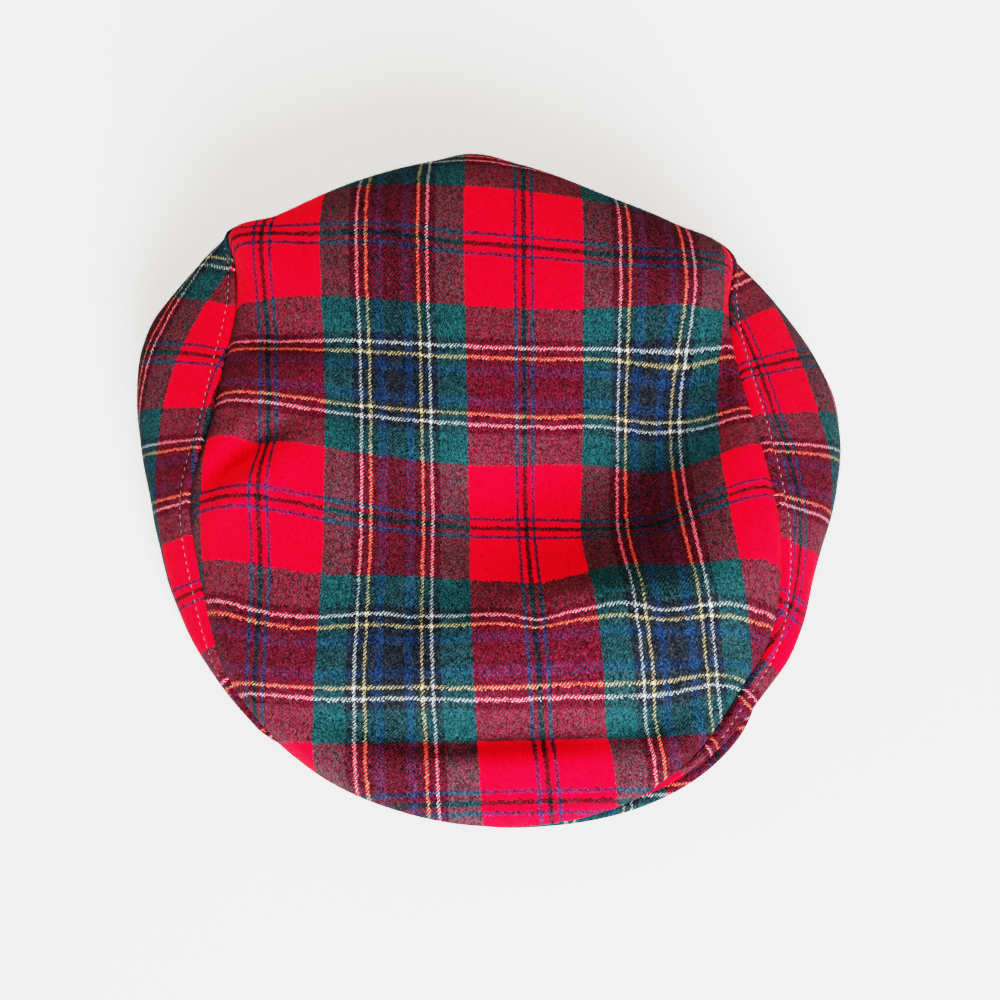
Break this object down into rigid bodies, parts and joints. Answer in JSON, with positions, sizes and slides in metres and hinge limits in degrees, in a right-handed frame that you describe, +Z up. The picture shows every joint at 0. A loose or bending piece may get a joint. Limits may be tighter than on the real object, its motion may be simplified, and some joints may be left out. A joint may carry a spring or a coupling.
{
  "type": "flat cap",
  "caption": "Soft woollen flat cap with a wide top panel, side panels folded under to the head opening, and a short cloth-covered peak below the front.",
  "frame": {"origin": "on the surface that the cap lies on, under the middle of its bounding box", "axes": "+Z up, the peak towards -Y, the back towards +Y, +X to the wearer's left"},
  "size_m": [0.258, 0.2438, 0.0718],
  "materials": {
    "tartan_wool": "brushed woollen twill in a red, green, blue and black tartan with white and yellow lines"
  },
  "bodies": {
    "root": {"top_panel": "tartan_wool", "side_panel_left": "tartan_wool", "side_panel_right": "tartan_wool", "peak": "tartan_wool"}
  },
  "joints": []
}
